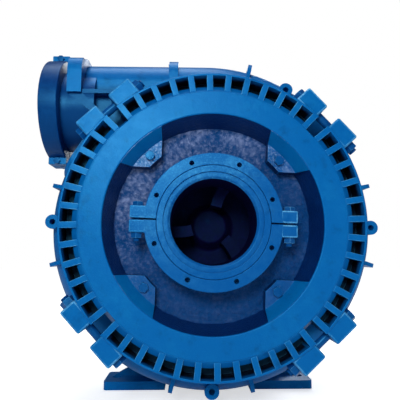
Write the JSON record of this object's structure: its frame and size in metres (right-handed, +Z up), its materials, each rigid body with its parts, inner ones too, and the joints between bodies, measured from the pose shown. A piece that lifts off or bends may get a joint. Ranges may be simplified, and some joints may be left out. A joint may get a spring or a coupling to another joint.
{
  "type": "slurry pump",
  "caption": "Horizontal slurry pump with a clamped volute casing, split suction and discharge rings, gland seal, and bearing cartridge on a cast base.",
  "frame": {"origin": "on the shaft axis, in the front face of the split suction ring, which is the centre of the suction bolt circle", "axes": "+Z up, +Y back along the shaft towards the drive end, +X to the right as seen from the suction side; the suction faces -Y and the discharge faces -X"},
  "size_m": [1.2829, 1.56, 1.377],
  "materials": {
    "casing_paint": "glossy blue enamel over sand-cast iron",
    "painted_fasteners": "blue enamel over steel fasteners",
    "bare_steel": "turned and ground steel with a film of oil",
    "wear_iron": "white iron casting, washed with the casing paint",
    "seal_rubber": "matt black rubber",
    "gland_bronze": "turned bronze",
    "gland_packing": "greased braided packing"
  },
  "bodies": {
    "root": {"intake_joint": "casing_paint", "intake_seal": "seal_rubber", "intake_ring_upper": "casing_paint", "intake_ring_lower": "casing_paint", "intake_ring_bolts": "painted_fasteners", "intake_ring_nuts": "painted_fasteners", "suction_door": "casing_paint", "door_pad_screws": "painted_fasteners", "door_seal": "seal_rubber", "front_clamp_right": "casing_paint", "front_clamp_bottom": "casing_paint", "front_clamp_left": "casing_paint", "front_clamp_top": "casing_paint", "front_clamp_bolts": "painted_fasteners", "front_clamp_nuts": "painted_fasteners", "volute_bowl": "casing_paint", "discharge_seal": "seal_rubber", "discharge_ring_front": "casing_paint", "discharge_ring_rear": "casing_paint", "discharge_ring_bolts": "painted_fasteners", "discharge_ring_nuts": "painted_fasteners", "back_liner": "wear_iron", "back_seal": "seal_rubber", "frame_plate": "casing_paint", "rear_clamp_right": "casing_paint", "rear_clamp_bottom": "casing_paint", "rear_clamp_left": "casing_paint", "rear_clamp_top": "casing_paint", "rear_clamp_bolts": "painted_fasteners", "rear_clamp_nuts": "painted_fasteners", "frame_plate_studs": "bare_steel", "frame_plate_nuts": "bare_steel", "stuffing_box": "casing_paint", "lantern_ring": "gland_bronze", "packing_rings": "gland_packing", "gland_studs": "bare_steel", "base_frame": "casing_paint", "housing_strap_front": "casing_paint", "housing_strap_rear": "casing_paint", "strap_bolts": "bare_steel", "adjusting_screw": "bare_steel"},
    "gland": {"gland_left": "casing_paint", "gland_right": "casing_paint", "gland_nuts": "bare_steel"},
    "cartridge": {"bearing_housing": "casing_paint", "front_bearing_outer": "bare_steel", "rear_bearing_outer": "bare_steel", "front_end_cover": "casing_paint", "rear_end_cover": "casing_paint", "end_cover_screws": "painted_fasteners", "adjusting_nuts": "bare_steel"},
    "rotor": {"shaft": "bare_steel", "impeller": "wear_iron", "shaft_sleeve": "bare_steel", "shaft_spacer": "bare_steel", "shaft_key": "bare_steel", "front_bearing_inner": "bare_steel", "rear_bearing_inner": "bare_steel"},
    "front_rollers": {"front_bearing_rollers": "bare_steel"},
    "rear_rollers": {"rear_bearing_rollers": "bare_steel"}
  },
  "joints": [
    {"name": "gland_travel", "type": "slide", "parent": "root", "child": "gland", "axis": [0, 1, 0], "range_m": [-0.003, 0.02]},
    {"name": "impeller_adjustment", "type": "slide", "parent": "root", "child": "cartridge", "axis": [0, 1, 0], "range_m": [-0.004, 0.008]},
    {"name": "shaft_spin", "type": "hinge", "parent": "cartridge", "child": "rotor", "pos_m": [0, 0.9, 0], "axis": [0, -1, 0], "continuous": true},
    {"name": "front_roller_orbit", "type": "hinge", "parent": "cartridge", "child": "front_rollers", "pos_m": [0, 0.77, 0], "axis": [0, -1, 0], "continuous": true},
    {"name": "rear_roller_orbit", "type": "hinge", "parent": "cartridge", "child": "rear_rollers", "pos_m": [0, 1.16, 0], "axis": [0, -1, 0], "continuous": true}
  ],
  "couplings": [
    {"joint": "front_roller_orbit", "follows": "shaft_spin", "ratio": 0.4364},
    {"joint": "rear_roller_orbit", "follows": "shaft_spin", "ratio": 0.4364}
  ]
}
